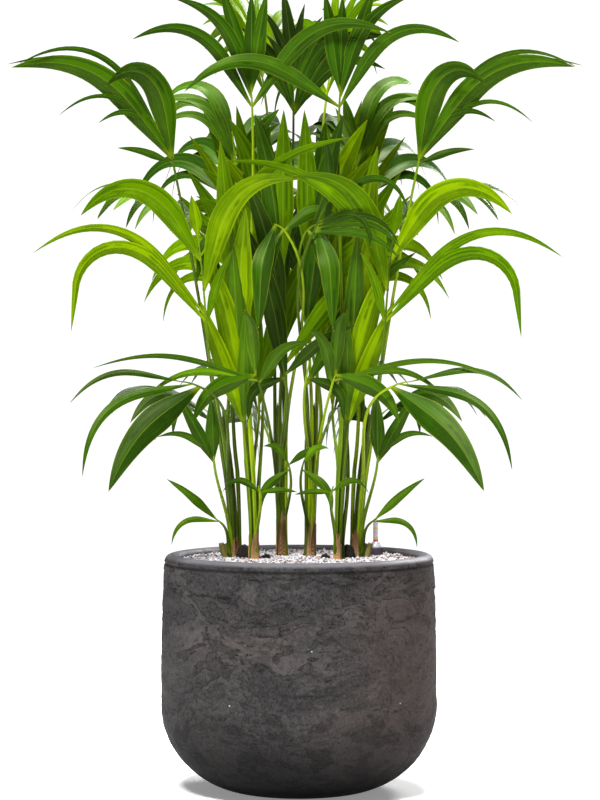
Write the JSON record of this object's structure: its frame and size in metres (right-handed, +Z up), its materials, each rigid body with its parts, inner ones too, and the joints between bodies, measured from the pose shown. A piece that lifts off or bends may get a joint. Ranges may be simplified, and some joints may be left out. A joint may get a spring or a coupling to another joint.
{
  "type": "potted kentia palm",
  "caption": "Clump of kentia palm with arching feather fronds in a round-bottomed dark planter, topped with light granulate and a water-level gauge.",
  "frame": {"origin": "centre of the planter's flat underside", "axes": "+Z up, the front towards -Y, +X to the right seen from the front"},
  "size_m": [0.9492, 0.7151, 1.4224],
  "materials": {
    "planter": "matte",
    "gravel": "matte",
    "gauge_cap": "satin",
    "gauge_tube": "gloss",
    "stem": "matte",
    "leaf_bright": "satin",
    "leaf_mid": "satin",
    "leaf_dark": "satin"
  },
  "bodies": {
    "root": {"planter": "planter", "gravel": "gravel", "gauge_cap": "gauge_cap", "gauge_tube": "gauge_tube", "stem_left_1": "stem", "stem_right_1": "stem", "stem_left_2": "stem", "stem_right_2": "stem", "stem_left_3": "stem", "stem_right_3": "stem", "frond_left_crest": "leaf_dark", "frond_right_crest": "leaf_dark", "frond_left_bright": "leaf_bright", "frond_right_bright": "leaf_bright", "frond_left_plume": "leaf_dark", "frond_right_plume": "leaf_dark", "frond_left_skirt": "leaf_dark", "frond_right_skirt": "leaf_dark", "frond_left_low_young": "leaf_mid", "frond_right_low_young": "leaf_mid", "frond_left_outer_young": "leaf_dark", "frond_right_outer_young": "leaf_dark", "frond_left_front_young": "leaf_mid", "frond_right_front_young": "leaf_mid", "frond_left_sprout": "leaf_mid", "frond_right_sprout": "leaf_mid", "frond_left_tuft": "leaf_mid", "frond_right_tuft": "leaf_mid", "frond_left_inner": "leaf_dark", "frond_right_inner": "leaf_dark", "frond_left_spear": "leaf_bright", "frond_right_spear": "leaf_bright", "frond_left_back_spear": "leaf_bright", "frond_right_back_spear": "leaf_bright", "frond_left_heart": "leaf_dark", "frond_right_heart": "leaf_dark", "frond_left_core": "leaf_mid", "frond_right_core": "leaf_mid", "frond_left_weeping": "leaf_dark", "frond_right_weeping": "leaf_dark", "frond_right_cascade": "leaf_dark", "frond_left_shoulder": "leaf_mid", "frond_right_shoulder": "leaf_mid", "frond_left_summit": "leaf_bright", "frond_right_summit": "leaf_bright", "frond_left_flank": "leaf_mid", "frond_right_flank": "leaf_mid", "frond_left_low_flank": "leaf_dark", "frond_right_low_flank": "leaf_dark", "frond_left_back_crest": "leaf_dark", "frond_right_back_crest": "leaf_dark", "frond_left_back_bright": "leaf_bright", "frond_right_back_bright": "leaf_bright", "frond_left_back_skirt": "leaf_dark", "frond_right_back_skirt": "leaf_dark", "frond_left_crown": "leaf_dark"}
  },
  "joints": []
}
